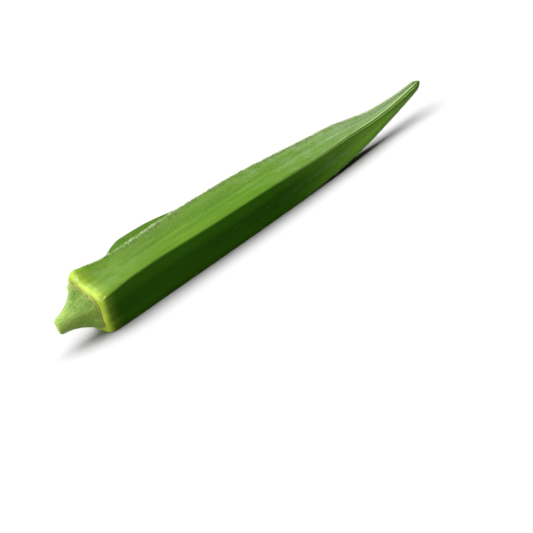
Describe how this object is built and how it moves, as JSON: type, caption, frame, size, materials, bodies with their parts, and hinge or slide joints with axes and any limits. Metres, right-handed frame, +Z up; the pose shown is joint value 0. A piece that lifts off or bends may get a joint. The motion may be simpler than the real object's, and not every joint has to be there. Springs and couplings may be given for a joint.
{
  "type": "okra pod",
  "caption": "Long five-ridged okra pod with a curved pointed tip, a swollen rim and a flared stem cap with a short cut stalk, lying on one face.",
  "frame": {"origin": "on the flat underside, below the pod's balance point, 37.7 mm from the seam with the stem cap", "axes": "+X along the pod towards its tip, +Z up from the surface it lies on, +Y across it"},
  "size_m": [0.1241, 0.0175, 0.0179],
  "materials": {
    "pod_skin": "fresh green skin with a fine velvety down, satin",
    "stem_cap_skin": "dull grey-green downy skin, matt"
  },
  "bodies": {
    "root": {"pod": "pod_skin", "stem_cap": "stem_cap_skin"}
  },
  "joints": []
}
